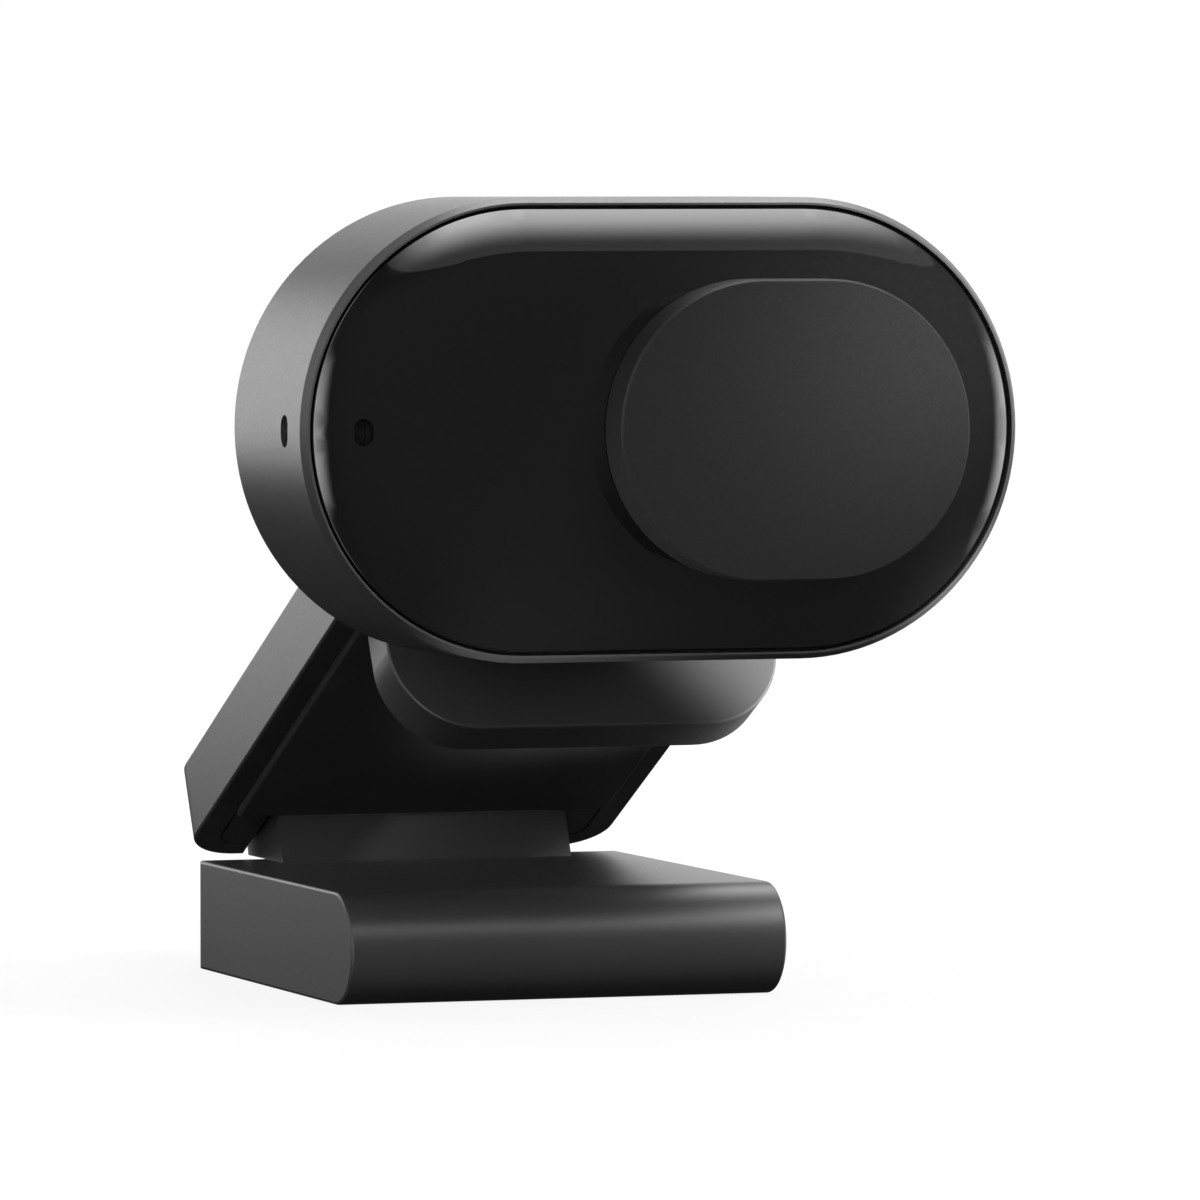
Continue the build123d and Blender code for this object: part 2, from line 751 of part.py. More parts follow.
# Rear cover with the tilt lug, the cable hole and posts for the board
with BuildPart() as rear_cover:
    with BuildSketch(head_plane(head_rear_y)):
        SlotOverall(
            head_width - 2 * shell_wall - 2 * seam_gap, head_height - 2 * shell_wall - 2 * seam_gap
        )
    extrude(amount=cover_plate_thickness)
    with BuildSketch(Plane.YZ.offset(-lug_width / 2)):
        with Locations((tilt_axis.Y, tilt_axis.Z)):
            Circle(lug_knuckle_radius)
        with Locations((cover_inner_y, head_z - lug_root_drop)):
            Rectangle(cover_plate_thickness, lug_root_height, align=(Align.MIN, Align.CENTER))
        make_hull()
    extrude(amount=lug_width)
    with BuildSketch(tilt_axis_plane.offset(-lug_width / 2)):
        Circle(tilt_bush_radius)
    extrude(amount=lug_width, mode=Mode.SUBTRACT)
    with BuildSketch(head_plane(cover_inner_y)):
        with Locations(*board_screw_points):
            Circle(board_post_radius)
    extrude(amount=board_standoff)
    with BuildSketch(head_plane(board_back_y)):
        with Locations(*board_screw_points):
            Circle(board_screw[2] + screw_gap)
    extrude(amount=-(board_screw[3] - board_thickness + screw_gap), mode=Mode.SUBTRACT)
    with BuildSketch(head_plane(head_rear_y)):
        with Locations((0, grommet_rise)):
            Circle(grommet_hole_radius)
        with Locations(*head_boss_points):
            Circle(rear_screw[2] + screw_gap)
    extrude(amount=cover_plate_thickness, mode=Mode.SUBTRACT)
    with BuildSketch(head_plane(head_rear_y)):
        with Locations(*head_boss_points):
            Circle(rear_screw[0] + screw_gap)
    extrude(amount=rear_screw[1], mode=Mode.SUBTRACT)
write(rear_cover.part, "rear_cover")

write(screw_set(head_plane(head_rear_y), head_boss_points, rear_screw), "rear_cover_screws")

# Rubber grommet of the cable hole
with BuildPart() as cable_grommet:
    with BuildSketch(head_plane_back(cover_inner_y)):
        with Locations((0, grommet_rise)):
            Circle(grommet_hole_radius)
    extrude(amount=cover_plate_thickness)
    for flange_y in (cover_inner_y - grommet_flange_thickness, head_rear_y):
        with BuildSketch(head_plane_back(flange_y)):
            with Locations((0, grommet_rise)):
                Circle(grommet_flange_radius)
        extrude(amount=grommet_flange_thickness)
    with BuildSketch(head_plane_back(cover_inner_y - grommet_flange_thickness)):
        with Locations((0, grommet_rise)):
            Circle(cable_radius)
    extrude(amount=cover_plate_thickness + 2 * grommet_flange_thickness, mode=Mode.SUBTRACT)
write(cable_grommet.part, "cable_grommet")

# Front panel: flat in the middle, falling to its rounded edge along an arc
with BuildPart() as front_panel:
    with BuildSketch(side_plane(-head_arc_x)) as panel_section:
        with BuildLine():
            flat_half = panel_half_height - pillow_width
            Line((panel_front_y, -flat_half), (panel_front_y, flat_half))
            RadiusArc(
                (panel_front_y, flat_half), (panel_edge_y, panel_half_height), pillow_radius
            )
            Polyline(
                (panel_edge_y, panel_half_height),
                (panel_back_y, panel_half_height),
                (panel_back_y, -panel_half_height),
                (panel_edge_y, -panel_half_height),
            )
            RadiusArc(
                (panel_edge_y, -panel_half_height), (panel_front_y, -flat_half), pillow_radius
            )
        make_face()
        fillet(panel_section.vertices().filter_by(is_panel_corner), panel_edge_round)
    extrude(amount=2 * head_arc_x)
    for side in (-1, 1):
        with BuildSketch(side_plane(side * head_arc_x)) as end_section:
            with BuildLine():
                Polyline(
                    (panel_edge_y, panel_half_height),
                    (panel_back_y, panel_half_height),
                    (panel_back_y, 0),
                    (panel_front_y, 0),
                    (panel_front_y, flat_half),
                )
                RadiusArc(
                    (panel_front_y, flat_half), (panel_edge_y, panel_half_height), pillow_radius
                )
            make_face()
            fillet(end_section.vertices().filter_by(is_panel_corner), panel_edge_round)
        end_axis = Axis((side * head_arc_x, 0, head_z), (0, side, 0))
        revolve(axis=end_axis, revolution_arc=180)
    with BuildSketch(head_plane(panel_back_y)):
        with Locations((lens_x, 0)):
            Circle(window_radius - window_shoulder)
        with Locations((indicator_x, 0)):
            SlotOverall(indicator_height, indicator_width, rotation=90)
        for end in (-1, 1):
            with Locations((slot_x, end * tongue_rise)):
                Rectangle(slot_length, tongue_height + 2 * seam_gap)
    extrude(amount=panel_edge_thickness + pillow_drop, mode=Mode.SUBTRACT)
    with BuildSketch(head_plane(panel_front_y + window_thickness)):
        with Locations((lens_x, 0)):
            Circle(window_radius + running_gap)
    extrude(amount=window_thickness, mode=Mode.SUBTRACT)
write(front_panel.part, "front_panel")

# Adhesive gasket between the panel and the shell's ledge
with BuildPart() as panel_gasket:
    with BuildSketch(head_plane(ledge_front_y)):
        SlotOverall(head_width - 2 * panel_inset, head_height - 2 * panel_inset)
        SlotOverall(
            head_width - 2 * panel_inset - 2 * gasket_width,
            head_height - 2 * panel_inset - 2 * gasket_width,
            mode=Mode.SUBTRACT,
        )
    extrude(amount=gasket_thickness)
write(panel_gasket.part, "panel_gasket")

# Clear window over the lens
with BuildPart() as lens_window:
    with BuildSketch(head_plane(panel_front_y + window_thickness)):
        with Locations((lens_x, 0)):
            Circle(window_radius)
    extrude(amount=window_thickness)
write(lens_window.part, "lens_window")

# Lens barrel, its two lenses and the holder on the board
with BuildPart() as lens_barrel:
    with BuildSketch(head_plane(barrel_front_y + barrel_length)):
        with Locations((lens_x, 0)):
            Circle(barrel_radius)
            Circle(glass_radius, mode=Mode.SUBTRACT)
    extrude(amount=barrel_length)
    with BuildSketch(head_plane(barrel_front_y + glass_setback)):
        with Locations((lens_x, 0)):
            Circle(barrel_radius - barrel_wall + glass_setback)
    extrude(amount=glass_setback, taper=-30, mode=Mode.SUBTRACT)
write(lens_barrel.part, "lens_barrel")

glass_backs = {
    "front_lens": (barrel_front_y + glass_setback + front_glass_thickness, front_glass_thickness),
    "rear_lens": (barrel_front_y + barrel_length - glass_setback, rear_glass_thickness),
}
for glass_name, (glass_back_y, glass_thickness) in glass_backs.items():
    with BuildPart() as glass:
        with BuildSketch(head_plane(glass_back_y)):
            with Locations((lens_x, 0)):
                Circle(glass_radius)
        extrude(amount=glass_thickness)
        glass_edge = glass.faces().sort_by(Axis.Y)[0].edges()
        chamfer(glass_edge, edge_round)
    write(glass.part, glass_name)

with BuildPart() as lens_holder:
    with BuildSketch(head_plane(board_front_y)):
        with Locations((lens_x, 0)):
            Rectangle(holder_base, holder_base)
    extrude(amount=holder_base_thickness)
    with BuildSketch(head_plane(board_front_y)):
        with Locations((lens_x, 0)):
            Circle(barrel_radius + running_gap + holder_wall)
    extrude(amount=holder_height)
    with BuildSketch(head_plane(board_front_y)):
        with Locations((lens_x, 0)):
            Circle(barrel_radius + running_gap)
    extrude(amount=holder_height, mode=Mode.SUBTRACT)
write(lens_holder.part, "lens_holder")

# Image sensor on the board
with BuildPart() as image_sensor:
    with BuildSketch(head_plane(board_front_y)):
        with Locations((lens_x, 0)):
            Rectangle(sensor_size, sensor_size)
    extrude(amount=sensor_thickness)
write(image_sensor.part, "image_sensor")

# Main board on the rear cover's posts
with BuildPart() as main_board:
    with BuildSketch(head_plane(board_back_y)):
        SlotOverall(board_width, board_height)
        with Locations(*board_screw_points):
            Circle(board_screw[2] + screw_gap, mode=Mode.SUBTRACT)
    extrude(amount=board_thickness)
write(main_board.part, "main_board")

board_screw_plane = head_plane_back(board_front_y - board_screw[1])
write(screw_set(board_screw_plane, board_screw_points, board_screw), "board_screws")

# Indicator light and the clear pipe that carries it to the panel
with BuildPart() as indicator_led:
    with BuildSketch(head_plane(board_front_y)):
        with Locations((indicator_x, 0)):
            Rectangle(led_width, led_height)
    extrude(amount=led_thickness)
write(indicator_led.part, "indicator_led")

with BuildPart() as light_pipe:
    pipe_back_y = led_front_y - led_gap
    with BuildSketch(head_plane(pipe_back_y)):
        with Locations((indicator_x, 0)):
            SlotOverall(
                indicator_height - 2 * running_gap, indicator_width - 2 * running_gap, rotation=90
            )
    extrude(amount=pipe_back_y - panel_edge_y - indicator_setback)
    with BuildSketch(head_plane(panel_back_y + pipe_flange_thickness)):
        with Locations((indicator_x, 0)):
            SlotOverall(
                indicator_height + 2 * pipe_flange_border,
                indicator_width + 2 * pipe_flange_border,
                rotation=90,
            )
    extrude(amount=pipe_flange_thickness)
write(light_pipe.part, "light_pipe")

# Microphones: gasket on the shell's seat, capsule, carrier board
mic_stack = {
    "mic_gaskets": (0, mic_gasket_thickness, mic_board_size, True),
    "microphones": (mic_gasket_thickness, mic_thickness, mic_size, True),
    "mic_boards": (mic_gasket_thickness + mic_thickness, mic_board_thickness, mic_board_size, False),
}
for stack_name, (stack_start, stack_thickness, stack_size, stack_open) in mic_stack.items():
    with BuildPart() as stack:
        for side in (-1, 1):
            with BuildSketch(side_plane(side * (mic_seat_x - stack_start))):
                with Locations((mic_y, 0)):
                    Rectangle(stack_size, stack_size)
                    if stack_open:
                        Circle(mic_slot_width / 2, mode=Mode.SUBTRACT)
            extrude(amount=-side * stack_thickness)
    write(stack.part, stack_name)

# Cable connector and heat spreader on the back of the board
back_pieces = {
    "cable_connector": (connector_x, grommet_rise, connector_width, connector_height, connector_depth),
    "heat_spreader": (lens_x, 0, spreader_width, spreader_height, spreader_thickness),
}
for piece_name, (piece_x, piece_rise, piece_width, piece_height, piece_depth) in back_pieces.items():
    with BuildPart() as piece:
        with BuildSketch(head_plane(board_back_y)):
            with Locations((piece_x, piece_rise)):
                Rectangle(piece_width, piece_height)
        extrude(amount=-piece_depth)
    write(piece.part, piece_name)

# Sliding shutter with two tongues through the panel's slots
with BuildPart() as shutter_cover:
    with BuildSketch(head_plane(shutter_base_y)):
        with Locations((shutter_x, 0)):
            SlotOverall(shutter_width, shutter_height)
    extrude(amount=shutter_thickness)
    chamfer(shutter_cover.faces().sort_by(Axis.Y)[0].edges(), shutter_bevel)
    with BuildSketch(head_plane(tongue_back_y)):
        with Locations(*tongue_points):
            Rectangle(tongue_width, tongue_height)
    extrude(amount=tongue_back_y - shutter_base_y)
    with BuildSketch(head_plane(tongue_back_y)):
        with Locations(*tongue_points):
            Circle(runner_screw[2] + screw_gap)
    extrude(amount=runner_screw[3] - runner_thickness + screw_gap, mode=Mode.SUBTRACT)
write(shutter_cover.part, "shutter_cover")

# Runners behind the panel that hold the shutter on
with BuildPart() as shutter_runners:
    with BuildSketch(head_plane(runner_back_y)):
        with Locations(*tongue_points):
            Rectangle(runner_width, runner_height)
            Circle(runner_screw[2] + screw_gap, mode=Mode.SUBTRACT)
    extrude(amount=runner_thickness)
write(shutter_runners.part, "shutter_runners")

runner_screw_plane = head_plane(runner_back_y + runner_screw[1])
write(screw_set(runner_screw_plane, tongue_points, runner_screw), "shutter_screws")
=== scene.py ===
import bmesh
import bpy
import numpy as np
from mathutils import Matrix, Vector


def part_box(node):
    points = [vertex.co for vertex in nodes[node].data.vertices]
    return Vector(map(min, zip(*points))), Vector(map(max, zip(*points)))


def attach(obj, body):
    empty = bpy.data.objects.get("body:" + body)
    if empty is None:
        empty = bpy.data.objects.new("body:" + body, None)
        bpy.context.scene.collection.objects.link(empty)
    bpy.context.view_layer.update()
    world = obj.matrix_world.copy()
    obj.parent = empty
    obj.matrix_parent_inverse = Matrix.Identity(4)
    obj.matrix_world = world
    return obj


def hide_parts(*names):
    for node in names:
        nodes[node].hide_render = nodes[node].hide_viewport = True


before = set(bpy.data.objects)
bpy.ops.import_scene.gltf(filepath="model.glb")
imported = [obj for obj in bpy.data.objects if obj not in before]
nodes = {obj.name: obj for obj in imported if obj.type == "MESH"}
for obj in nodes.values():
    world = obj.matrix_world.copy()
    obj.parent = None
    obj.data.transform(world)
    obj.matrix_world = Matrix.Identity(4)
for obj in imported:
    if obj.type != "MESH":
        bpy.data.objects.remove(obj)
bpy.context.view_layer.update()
scene = bpy.context.scene
MM = 0.001


def linear(code):
    """sRGB hex to linear RGBA: c/12.92 below 0.04045, else ((c + 0.055)/1.055)^2.4."""
    c = np.array([int(code[i : i + 2], 16) for i in (1, 3, 5)]) / 255
    c = np.where(c <= 0.04045, c / 12.92, ((c + 0.055) / 1.055) ** 2.4)
    return (*map(float, c), 1.0)


def add(tree, kind, inputs=None, stops=(), **settings):
    """Adds one node: settings are its properties, inputs its values or the outputs linked to it,
    and stops the places and colours of its ramp."""
    node = tree.nodes.new("ShaderNode" + kind)
    for key, value in settings.items():
        setattr(node, key, value)
    for key, value in (inputs or {}).items():
        if isinstance(value, bpy.types.NodeSocket):
            tree.links.new(value, node.inputs[key])
        else:
            node.inputs[key].default_value = value
    for k, (place, code) in enumerate(stops):
        ramp = node.color_ramp.elements
        stop = ramp[k] if k < 2 else ramp.new(place)
        stop.position, stop.color = place, linear(code)
    return node


def material(name):
    """A new node material with an empty tree: the material, its tree, Object coordinates, its output."""
    mat = bpy.data.materials.new(name)
    mat.use_nodes = True
    tree = mat.node_tree
    tree.nodes.clear()
    place = add(tree, "TexCoord").outputs["Object"]
    return mat, tree, place, add(tree, "OutputMaterial").inputs["Surface"]


def lumps(size_mm):
    """Noise scale in 1/m whose lumps are about size_mm across, on Object coordinates in metres."""
    return 0.6 / (size_mm * MM)


finishes = {}

# Charcoal ABS from a spark-eroded mould: an even dark grey with a broad soft sheen.
# The real grain is about 0.05 mm; it is drawn at 0.16 mm, so that it just shows close up.
mat, t, place, surface = material("moulded_charcoal_abs")
grain = add(t, "TexNoise", {"Vector": place, "Scale": lumps(0.16), "Detail": 3.0})
cloud = add(t, "TexNoise", {"Vector": place, "Scale": lumps(9.0), "Detail": 2.0})
tone = add(t, "ValToRGB", {"Fac": cloud.outputs["Fac"]}, [(0.3, "#2f2f2f"), (0.7, "#313131")])
rough = add(
    t,
    "MapRange",
    {"Value": grain.outputs["Fac"], "From Min": 0.3, "From Max": 0.7, "To Min": 0.37, "To Max": 0.43},
)
bump = add(t, "Bump", {"Height": grain.outputs["Fac"], "Strength": 0.06, "Distance": 0.02 * MM})
skin = add(
    t,
    "BsdfPrincipled",
    {
        "Base Color": tone.outputs["Color"],
        "Roughness": rough.outputs["Result"],
        "Normal": bump.outputs["Normal"],
        "IOR": 1.5,
        "Specular IOR Level": 0.35,
    },
)
t.links.new(skin.outputs["BSDF"], surface)
finishes["charcoal_plastic"] = mat

# Tinted acrylic from a polished mould: near black, with mirror-sharp reflections and faint wiping marks.
mat, t, place, surface = material("polished_black_acrylic")
wipe = add(t, "TexNoise", {"Vector": place, "Scale": lumps(6.0), "Detail": 4.0, "Distortion": 0.6})
dust = add(t, "TexNoise", {"Vector": place, "Scale": lumps(0.35), "Detail": 2.0})
rough = add(
    t,
    "MapRange",
    {"Value": wipe.outputs["Fac"], "From Min": 0.35, "From Max": 0.65, "To Min": 0.02, "To Max": 0.035},
)
tone = add(t, "ValToRGB", {"Fac": dust.outputs["Fac"]}, [(0.45, "#0a0a0a"), (0.8, "#0c0c0c")])
skin = add(
    t,
    "BsdfPrincipled",
    {"Base Color": tone.outputs["Color"], "Roughness": rough.outputs["Result"], "IOR": 1.49},
)
t.links.new(skin.outputs["BSDF"], surface)
finishes["gloss_panel"] = mat

# Soft-touch paint: dark and matt, with a velvety rise at grazing angles.
# Its flake of 0.08 mm is drawn at 0.2 mm.
mat, t, place, surface = material("soft_touch_paint")
grain = add(t, "TexNoise", {"Vector": place, "Scale": lumps(0.2), "Detail": 2.0})
tone = add(t, "ValToRGB", {"Fac": grain.outputs["Fac"]}, [(0.3, "#141414"), (0.7, "#181818")])
bump = add(t, "Bump", {"Height": grain.outputs["Fac"], "Strength": 0.06, "Distance": 0.02 * MM})
skin = add(
    t,
    "BsdfPrincipled",
    {
        "Base Color": tone.outputs["Color"],
        "Roughness": 0.42,
        "Normal": bump.outputs["Normal"],
        "IOR": 1.5,
        "Specular IOR Level": 0.15,
    },
)
t.links.new(skin.outputs["BSDF"], surface)
finishes["soft_touch"] = mat

# Glass-filled nylon of the inner mouldings: black, with pale flow streaks 3 mm long along X.
mat, t, place, surface = material("glass_filled_nylon")
drawn = add(t, "Mapping", {"Vector": place, "Scale": (0.2, 1.0, 1.0)})
flow = add(t, "TexNoise", {"Vector": drawn.outputs["Vector"], "Scale": lumps(0.6), "Detail": 3.0})
tone = add(t, "ValToRGB", {"Fac": flow.outputs["Fac"]}, [(0.35, "#131313"), (0.75, "#1d1d1d")])
rough = add(t, "MapRange", {"Value": flow.outputs["Fac"], "To Min": 0.45, "To Max": 0.65})
skin = add(
    t,
    "BsdfPrincipled",
    {"Base Color": tone.outputs["Color"], "Roughness": rough.outputs["Result"], "IOR": 1.53},
)
t.links.new(skin.outputs["BSDF"], surface)
finishes["black_plastic"] = mat

# Silicone rubber: black and dull, with shallow cells 0.3 mm across and a dusty bloom.
mat, t, place, surface = material("black_silicone_rubber")
cells = add(t, "TexVoronoi", {"Vector": place, "Scale": 1 / (0.3 * MM)})
bloom = add(t, "TexNoise", {"Vector": place, "Scale": lumps(4.0), "Detail": 3.0})
tone = add(t, "ValToRGB", {"Fac": bloom.outputs["Fac"]}, [(0.35, "#2a2a2a"), (0.7, "#2e2e2e")])
bump = add(t, "Bump", {"Height": cells.outputs["Distance"], "Strength": 0.08, "Distance": 0.03 * MM})
skin = add(
    t,
    "BsdfPrincipled",
    {
        "Base Color": tone.outputs["Color"],
        "Roughness": 0.6,
        "Normal": bump.outputs["Normal"],
        "IOR": 1.42,
        "Specular IOR Level": 0.3,
    },
)
t.links.new(skin.outputs["BSDF"], surface)
finishes["rubber"] = mat

# Zinc-plated steel: bright grey, with drawing marks 0.15 mm wide along X and a patchy passivated tint.
mat, t, place, surface = material("zinc_plated_steel")
drawn = add(t, "Mapping", {"Vector": place, "Scale": (0.06, 1.0, 1.0)})
marks = add(t, "TexNoise", {"Vector": drawn.outputs["Vector"], "Scale": lumps(0.15), "Detail": 2.0})
tint = add(t, "TexNoise", {"Vector": place, "Scale": lumps(2.5), "Detail": 2.0})
tone = add(t, "ValToRGB", {"Fac": tint.outputs["Fac"]}, [(0.35, "#a7abb1"), (0.65, "#bfc1c3")])
rough = add(t, "MapRange", {"Value": marks.outputs["Fac"], "To Min": 0.22, "To Max": 0.42})
skin = add(
    t,
    "BsdfPrincipled",
    {"Base Color": tone.outputs["Color"], "Roughness": rough.outputs["Result"], "Metallic": 1.0},
)
t.links.new(skin.outputs["BSDF"], surface)
finishes["steel"] = mat

# Turned brass: warm yellow, with tool rings 0.2 mm apart round the vertical axis of the tripod nut.
mat, t, place, surface = material("turned_brass")
centred = add(t, "Mapping", {"Vector": place, "Location": (0.0, 8.0 * MM, 0.0)})
rings = add(
    t,
    "TexWave",
    {"Vector": centred.outputs["Vector"], "Scale": 0.314 / (0.2 * MM), "Distortion": 0.4},
    wave_type="RINGS",
    rings_direction="Z",
)
tone = add(t, "ValToRGB", {"Fac": rings.outputs["Fac"]}, [(0.2, "#b9974e"), (0.8, "#cbab62")])
rough = add(t, "MapRange", {"Value": rings.outputs["Fac"], "To Min": 0.22, "To Max": 0.34})
skin = add(
    t,
    "BsdfPrincipled",
    {"Base Color": tone.outputs["Color"], "Roughness": rough.outputs["Result"], "Metallic": 1.0},
)
t.links.new(skin.outputs["BSDF"], surface)
finishes["brass"] = mat

# Coated optical glass: clear, with the violet-green glint of a coating about 100 nm thick.
mat, t, place, surface = material("coated_optical_glass")
film = add(t, "TexNoise", {"Vector": place, "Scale": lumps(5.0), "Detail": 1.0})
depth = add(t, "MapRange", {"Value": film.outputs["Fac"], "To Min": 90.0, "To Max": 112.0})
skin = add(
    t,
    "BsdfPrincipled",
    {
        "Base Color": linear("#eef2f4"),
        "Roughness": 0.01,
        "IOR": 1.52,
        "Transmission Weight": 1.0,
        "Thin Film Thickness": depth.outputs["Result"],
        "Thin Film IOR": 1.38,
    },
)
t.links.new(skin.outputs["BSDF"], surface)
finishes["lens_glass"] = mat

# Smoked polycarbonate of the light pipe: a dark, slightly milky gloss with faint moulding swirls.
mat, t, place, surface = material("smoked_polycarbonate")
swirl = add(t, "TexNoise", {"Vector": place, "Scale": lumps(0.8), "Detail": 2.0, "Distortion": 1.0})
tone = add(t, "ValToRGB", {"Fac": swirl.outputs["Fac"]}, [(0.35, "#191919"), (0.7, "#1f1f1f")])
rough = add(t, "MapRange", {"Value": swirl.outputs["Fac"], "To Min": 0.25, "To Max": 0.35})
skin = add(
    t,
    "BsdfPrincipled",
    {
        "Base Color": tone.outputs["Color"],
        "Roughness": rough.outputs["Result"],
        "IOR": 1.58,
        "Specular IOR Level": 0.35,
    },
)
t.links.new(skin.outputs["BSDF"], surface)
finishes["clear_plastic"] = mat

# Solder mask: deep green gloss over copper traces 0.25 mm wide on a 1.2 mm grid.
mat, t, place, surface = material("green_solder_mask")
upright = add(t, "Mapping", {"Vector": place, "Rotation": (np.pi / 2, 0.0, 0.0)})
traces = add(
    t,
    "TexBrick",
    {
        "Vector": upright.outputs["Vector"],
        "Color1": linear("#0f3a22"),
        "Color2": linear("#123f26"),
        "Mortar": linear("#1d5a38"),
        "Scale": 1 / MM,
        "Mortar Size": 0.125,
        "Brick Width": 3.6,
        "Row Height": 1.2,
    },
)
stain = add(t, "TexNoise", {"Vector": place, "Scale": lumps(3.0), "Detail": 2.0})
rough = add(t, "MapRange", {"Value": stain.outputs["Fac"], "To Min": 0.25, "To Max": 0.4})
skin = add(
    t,
    "BsdfPrincipled",
    {"Base Color": traces.outputs["Color"], "Roughness": rough.outputs["Result"], "IOR": 1.5},
)
t.links.new(skin.outputs["BSDF"], surface)
finishes["circuit_board"] = mat

# Anodised aluminium: pale satin grey, with rolling marks 0.2 mm wide along Z.
mat, t, place, surface = material("anodised_aluminium")
rolled = add(t, "Mapping", {"Vector": place, "Scale": (1.0, 1.0, 0.05)})
marks = add(t, "TexNoise", {"Vector": rolled.outputs["Vector"], "Scale": lumps(0.2), "Detail": 2.0})
tone = add(t, "ValToRGB", {"Fac": marks.outputs["Fac"]}, [(0.3, "#b3b6b9"), (0.7, "#c7cacd")])
rough = add(t, "MapRange", {"Value": marks.outputs["Fac"], "To Min": 0.3, "To Max": 0.45})
skin = add(
    t,
    "BsdfPrincipled",
    {"Base Color": tone.outputs["Color"], "Roughness": rough.outputs["Result"], "Metallic": 1.0},
)
t.links.new(skin.outputs["BSDF"], surface)
finishes["aluminium"] = mat

# Acoustic cloth: black monofilament woven at 0.1 mm, drawn at 0.25 mm so that the weave shows.
mat, t, place, surface = material("acoustic_cloth")
across = add(
    t, "TexWave", {"Vector": place, "Scale": 0.314 / (0.25 * MM)}, wave_type="BANDS", bands_direction="Y"
)
upward = add(
    t, "TexWave", {"Vector": place, "Scale": 0.314 / (0.25 * MM)}, wave_type="BANDS", bands_direction="Z"
)
weave = add(
    t, "Math", {0: across.outputs["Fac"], 1: upward.outputs["Fac"]}, operation="MULTIPLY"
)
tone = add(t, "ValToRGB", {"Fac": weave.outputs["Value"]}, [(0.2, "#0c0c0c"), (0.7, "#202020")])
skin = add(t, "BsdfPrincipled", {"Base Color": tone.outputs["Color"], "Roughness": 0.7})
t.links.new(skin.outputs["BSDF"], surface)
finishes["acoustic_cloth"] = mat

for node in nodes.values():
    for i, slot in enumerate([m.name.split(".")[0] for m in node.data.materials]):
        node.data.materials[i] = finishes[slot]


def sheet(name, grid, finish):
    """Mesh of a grid of points p(u, v), joined round in v. Faces look along dp/du x dp/dv, and points that
    fall together become one."""
    rows, cols = grid.shape[:2]
    i, j = np.meshgrid(np.arange(rows - 1), np.arange(cols), indexing="ij")
    n, m = i + 1, (j + 1) % cols
    quads = np.stack([i * cols + j, n * cols + j, n * cols + m, i * cols + m], -1).reshape(-1, 4)
    mesh = bpy.data.meshes.new(name)
    mesh.from_pydata(grid.reshape(-1, 3).tolist(), [], quads.tolist())
    work = bmesh.new()
    work.from_mesh(mesh)
    bmesh.ops.remove_doubles(work, verts=work.verts, dist=1e-7)
    work.to_mesh(mesh)
    work.free()
    mesh.polygons.foreach_set("use_smooth", np.ones(len(mesh.polygons), bool))
    mesh.materials.append(finish)
    obj = bpy.data.objects.new(name, mesh)
    scene.collection.objects.link(obj)
    return obj


def turned(radii, depths, centre_x, centre_z, spokes):
    """Solid of revolution about an axis along Y: x = cx + r cos(a), y = d, z = cz + r sin(a),
    in millimetres, for a profile of radii r and depths d."""
    r, d = np.asarray(radii)[:, None], np.asarray(depths)[:, None]
    a = np.linspace(0.0, 2 * np.pi, spokes, endpoint=False)[None, :]
    return MM * np.stack([centre_x + r * np.cos(a), d + 0 * a, centre_z + r * np.sin(a)], -1)


def ridge(centre_y, foot_z, turns, pitch, root_radius, depth, half_width):
    """Screw ridge about a vertical axis, in millimetres. Corner v of its four-sided section runs along
    r = R - d s max(cos v, 0), z = z0 + h + n p u + h s sin v, at the angle 2 pi n u for u from 0 to 1.
    s = min(1, 12 min(u, 1 - u)) fades the ridge out at both ends."""
    u = np.linspace(0.0, 1.0, 460)[:, None]
    v = np.arange(4)[None, :] * np.pi / 2
    size = np.clip(12 * np.minimum(u, 1 - u), 0.0, 1.0)
    around = 2 * np.pi * turns * u
    radius = root_radius - depth * size * np.maximum(np.cos(v), 0.0)
    height = foot_z + half_width + turns * pitch * u + half_width * size * np.sin(v)
    return MM * np.stack([radius * np.cos(around), centre_y + radius * np.sin(around), height], -1)


def stadium(centre, side, radius, straight, thickness):
    """Flat stadium across X, in millimetres, its front towards side: x = cx + side t/2, then cx - side t/2,
    y = cy + side k r cos(a), z = cz + k (r sin(a) + e sign(sin(a))), for k from 0 at the middle to 1 at the
    rim and back to 0, and e half the straight part."""
    a = np.linspace(0.0, 2 * np.pi, 48, endpoint=False)[None, :]
    k = np.array([0.0, 0.5, 1.0, 1.0, 0.5, 0.0])[:, None]
    layer = np.array([0.5, 0.5, 0.5, -0.5, -0.5, -0.5])[:, None] * thickness
    x = centre[0] + side * layer + 0 * a
    y = centre[1] + side * k * radius * np.cos(a)
    z = centre[2] + k * (radius * np.sin(a) + straight / 2 * np.sign(np.sin(a)))
    return MM * np.stack([x, y, z], -1)


# Front lens: a domed face, a ground cylinder and a flat back, inside the plain disc's place
dome_rise = 1.4
low, high = (np.array(v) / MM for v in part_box("front_lens"))
lens_x, lens_z, lens_radius = (low[0] + high[0]) / 2, (low[2] + high[2]) / 2, (high[0] - low[0]) / 2
s = np.linspace(0.0, 1.0, 40)
radii = np.concatenate([lens_radius * s, [lens_radius, 0.0]])
depths = np.concatenate([low[1] + dome_rise * s**2, [high[1], high[1]]])
lens = sheet("front_lens_dome", turned(radii, depths, lens_x, lens_z, 96), finishes["lens_glass"])
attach(lens, "head")
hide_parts("front_lens")

